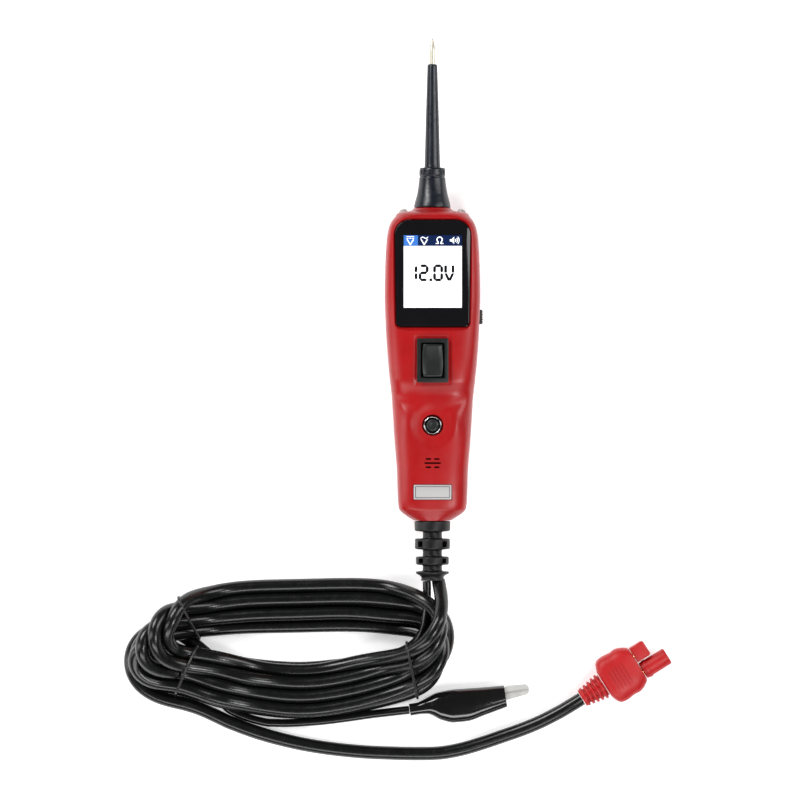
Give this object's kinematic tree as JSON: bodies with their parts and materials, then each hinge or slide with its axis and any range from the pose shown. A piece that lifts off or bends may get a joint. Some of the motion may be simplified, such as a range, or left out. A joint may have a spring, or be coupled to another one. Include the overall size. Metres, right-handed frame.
{
  "type": "powered circuit test light",
  "caption": "Hand-held powered circuit tester with a pointed probe, screen, rocker switch and headlights, a coiled supply cable with a two-pole plug, and a ground lead with an alligator clip.",
  "frame": {"origin": "centre of the flat back that the tester lies on", "axes": "+Y towards the probe's point, +Z out of the screen, +X to the right when the screen is seen with the probe up"},
  "size_m": [0.264, 0.3468, 0.0395],
  "materials": {
    "red_shell": "semi-gloss moulded plastic",
    "red_rubber": "satin overmoulded vinyl",
    "black_plastic": "satin moulded plastic",
    "black_rubber": "satin soft vinyl",
    "cable_jacket": "satin flexible cable jacket",
    "screen": "glossy black-bordered window",
    "steel": "nickel plated",
    "brass": "machined",
    "aluminium": "brushed",
    "board": "green solder mask",
    "clear_lens": "clear lens"
  },
  "bodies": {
    "tester": {"front_cover": "red_shell", "rear_cover": "red_shell", "plug_body": "red_rubber", "plug_strain_relief": "red_rubber", "plug_round_shroud": "red_rubber", "plug_square_shroud": "red_rubber", "probe_wire": "red_rubber", "supply_wire_positive": "red_rubber", "rocker_housing": "black_plastic", "probe_sleeve": "black_plastic", "lcd_holder": "black_plastic", "microcontroller": "black_plastic", "mode_switch": "black_plastic", "side_switch": "black_plastic", "sounder": "black_plastic", "power_relay": "black_plastic", "power_transistor_left": "black_plastic", "power_transistor_right": "black_plastic", "coil_tie_1": "black_plastic", "coil_tie_2": "black_plastic", "coil_tie_3": "black_plastic", "headlight_wire_left": "black_plastic", "headlight_wire_right": "black_plastic", "probe_boot": "black_rubber", "strain_relief": "black_rubber", "clip_boot": "black_rubber", "supply_wire_negative": "black_rubber", "cable_coil": "cable_jacket", "cable_to_coil": "cable_jacket", "cable_to_plug": "cable_jacket", "lead_to_coil": "cable_jacket", "lead_to_clip": "cable_jacket", "display_window": "screen", "lcd_panel": "screen", "probe_rod": "steel", "mode_button_ring": "steel", "housing_screw_1": "steel", "housing_screw_2": "steel", "housing_screw_3": "steel", "housing_screw_4": "steel", "clip_lower_jaw": "steel", "clip_pin": "steel", "clip_spring": "steel", "clip_crimp": "steel", "probe_socket": "brass", "rocker_terminal_1": "brass", "rocker_terminal_2": "brass", "rocker_terminal_3": "brass", "plug_round_contact": "brass", "plug_square_contact": "brass", "nameplate": "aluminium", "heat_sink": "aluminium", "main_board": "board", "headlight_left": "clear_lens", "headlight_right": "clear_lens"},
    "rocker": {"rocker_paddle": "black_plastic"},
    "mode_key": {"mode_button": "black_plastic"},
    "side_key": {"side_button": "black_plastic"},
    "clip_jaw": {"clip_upper_jaw": "steel"}
  },
  "joints": [
    {"name": "rocker_hinge", "type": "hinge", "parent": "tester", "child": "rocker", "pos_m": [0, 0.002, 0.036], "axis": [1, 0, 0], "range_deg": [-8, 8], "stiffness_Nm_per_rad": 0.1},
    {"name": "mode_press", "type": "slide", "parent": "tester", "child": "mode_key", "axis": [0, 0, -1], "range_m": [0, 0.001], "stiffness_N_per_m": 1500},
    {"name": "side_press", "type": "slide", "parent": "tester", "child": "side_key", "axis": [-1, 0, 0], "range_m": [0, 0.001], "stiffness_N_per_m": 1500},
    {"name": "clip_jaw_hinge", "type": "hinge", "parent": "tester", "child": "clip_jaw", "pos_m": [0.03013, -0.15891, 0.0054], "axis": [0, 0, 1], "range_deg": [0, 22], "stiffness_Nm_per_rad": 0.5, "springref_deg": -20.05, "deforming": ["clip_boot"]}
  ]
}
